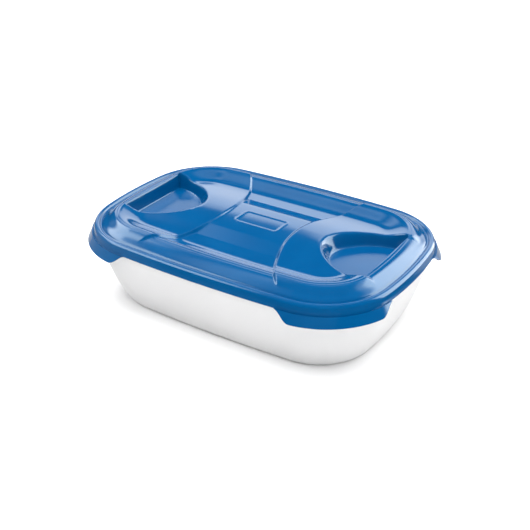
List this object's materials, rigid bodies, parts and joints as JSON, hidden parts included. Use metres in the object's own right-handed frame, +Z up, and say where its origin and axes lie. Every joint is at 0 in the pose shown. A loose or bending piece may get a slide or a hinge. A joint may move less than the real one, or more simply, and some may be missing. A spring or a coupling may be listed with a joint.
{
  "type": "snap lid food container",
  "caption": "Shallow rounded rectangular food tub with a snap lid, corner lifting tabs and finger pockets.",
  "frame": {"origin": "centre of the tub's base, on the surface it stands on", "axes": "+X along the length, -Y to the front long side, +Z up"},
  "size_m": [0.234, 0.1622, 0.0629],
  "materials": {
    "lid_blue": "smooth gloss moulded polyethylene",
    "tub_milky": "semi-gloss translucent polypropylene"
  },
  "bodies": {
    "tub": {"tub": "tub_milky"},
    "lid": {"lid": "lid_blue"},
    "tab_front_right": {"tab_front_right": "lid_blue"},
    "tab_front_left": {"tab_front_left": "lid_blue"},
    "tab_back_right": {"tab_back_right": "lid_blue"},
    "tab_back_left": {"tab_back_left": "lid_blue"}
  },
  "joints": [
    {"name": "lid_lift", "type": "slide", "parent": "tub", "child": "lid", "axis": [0, 0, 1], "range_m": [0, 0.08]},
    {"name": "tab_front_right_flex", "type": "hinge", "parent": "lid", "child": "tab_front_right", "pos_m": [0.09627, -0.0657, 0.0502], "axis": [-0.776, -0.6308, 0], "range_deg": [0, 12], "stiffness_Nm_per_rad": 0.05},
    {"name": "tab_front_left_flex", "type": "hinge", "parent": "lid", "child": "tab_front_left", "pos_m": [-0.09627, -0.0657, 0.0502], "axis": [-0.776, 0.6308, 0], "range_deg": [0, 12], "stiffness_Nm_per_rad": 0.05},
    {"name": "tab_back_right_flex", "type": "hinge", "parent": "lid", "child": "tab_back_right", "pos_m": [0.09627, 0.0657, 0.0502], "axis": [0.776, -0.6308, 0], "range_deg": [0, 12], "stiffness_Nm_per_rad": 0.05},
    {"name": "tab_back_left_flex", "type": "hinge", "parent": "lid", "child": "tab_back_left", "pos_m": [-0.09627, 0.0657, 0.0502], "axis": [0.776, 0.6308, 0], "range_deg": [0, 12], "stiffness_Nm_per_rad": 0.05}
  ]
}
